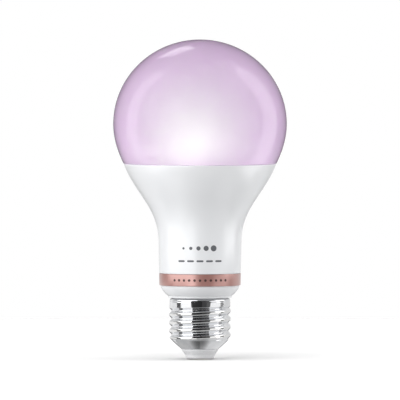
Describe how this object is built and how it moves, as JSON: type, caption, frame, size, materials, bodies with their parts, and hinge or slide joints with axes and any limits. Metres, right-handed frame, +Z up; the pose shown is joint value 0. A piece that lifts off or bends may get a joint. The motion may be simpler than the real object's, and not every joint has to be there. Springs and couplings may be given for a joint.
{
  "type": "smart light bulb",
  "caption": "Screw-in smart lamp: frosted globe on a waisted white housing with a metal neck band, threaded cap, light board and driver inside.",
  "frame": {"origin": "centre of the bottom face of the cap's centre contact, where the lamp meets its lampholder", "axes": "+Z runs up the lamp's axis from the contact to the top of the globe; +X is to the right in front view; the driver board stands parallel to XZ with its large components on +Y"},
  "size_m": [0.0744, 0.0744, 0.1371],
  "materials": {
    "diffuser": "frosted, light-diffusing, with a soft gloss",
    "white_plastic": "satin moulded white",
    "rose_metal": "brushed rose gold",
    "bright_metal": "bright nickel plate",
    "contact_metal": "nickel-plated brass",
    "adhesive": "cured white silicone",
    "aluminium": "stamped, bare",
    "thermal_pad": "soft filled silicone",
    "white_mask": "white solder mask on aluminium",
    "phosphor": "yellow phosphor gel in a white package",
    "clear_lens": "clear gel in a white package",
    "steel": "zinc-plated",
    "connector": "moulded nylon",
    "sleeve_plastic": "thin moulded insulation",
    "green_mask": "green solder mask on glass-fibre board",
    "capacitor_jacket": "shrunk jacket over an aluminium can",
    "resistor_body": "flame-proof coating",
    "ferrite": "sintered, matt",
    "copper": "enamelled copper wire",
    "film_box": "epoxy-dipped",
    "black_plastic": "moulded epoxy",
    "tape": "polyester tape over wire",
    "live_insulation": "wire insulation",
    "neutral_insulation": "wire insulation"
  },
  "bodies": {
    "root": {"diffuser_dome": "diffuser", "dome_adhesive": "adhesive", "housing": "white_plastic", "insulator": "white_plastic", "accent_band": "rose_metal", "screw_shell": "bright_metal", "centre_contact": "contact_metal", "heatsink_liner": "aluminium", "spreader_plate": "aluminium", "thermal_pad": "thermal_pad", "led_board": "white_mask", "white_led_01": "phosphor", "white_led_02": "phosphor", "white_led_03": "phosphor", "white_led_04": "phosphor", "white_led_05": "phosphor", "white_led_06": "phosphor", "white_led_07": "phosphor", "white_led_08": "phosphor", "white_led_09": "phosphor", "white_led_10": "phosphor", "white_led_11": "phosphor", "white_led_12": "phosphor", "colour_led_01": "clear_lens", "colour_led_02": "clear_lens", "colour_led_03": "clear_lens", "colour_led_04": "clear_lens", "colour_led_05": "clear_lens", "colour_led_06": "clear_lens", "board_screw_1": "steel", "board_screw_2": "steel", "board_screw_3": "steel", "module_shield": "steel", "led_socket": "connector", "insulating_sleeve": "sleeve_plastic", "driver_board": "green_mask", "module_board": "green_mask", "input_capacitor": "capacitor_jacket", "output_capacitor": "capacitor_jacket", "fuse_resistor": "resistor_body", "choke_core": "ferrite", "transformer_core": "ferrite", "choke_winding": "copper", "film_capacitor": "film_box", "transformer_bobbin": "black_plastic", "bridge_rectifier": "black_plastic", "controller_chip": "black_plastic", "switch_transistor": "black_plastic", "output_diode": "black_plastic", "transformer_winding": "tape", "live_lead": "live_insulation", "neutral_lead": "neutral_insulation"}
  },
  "joints": []
}
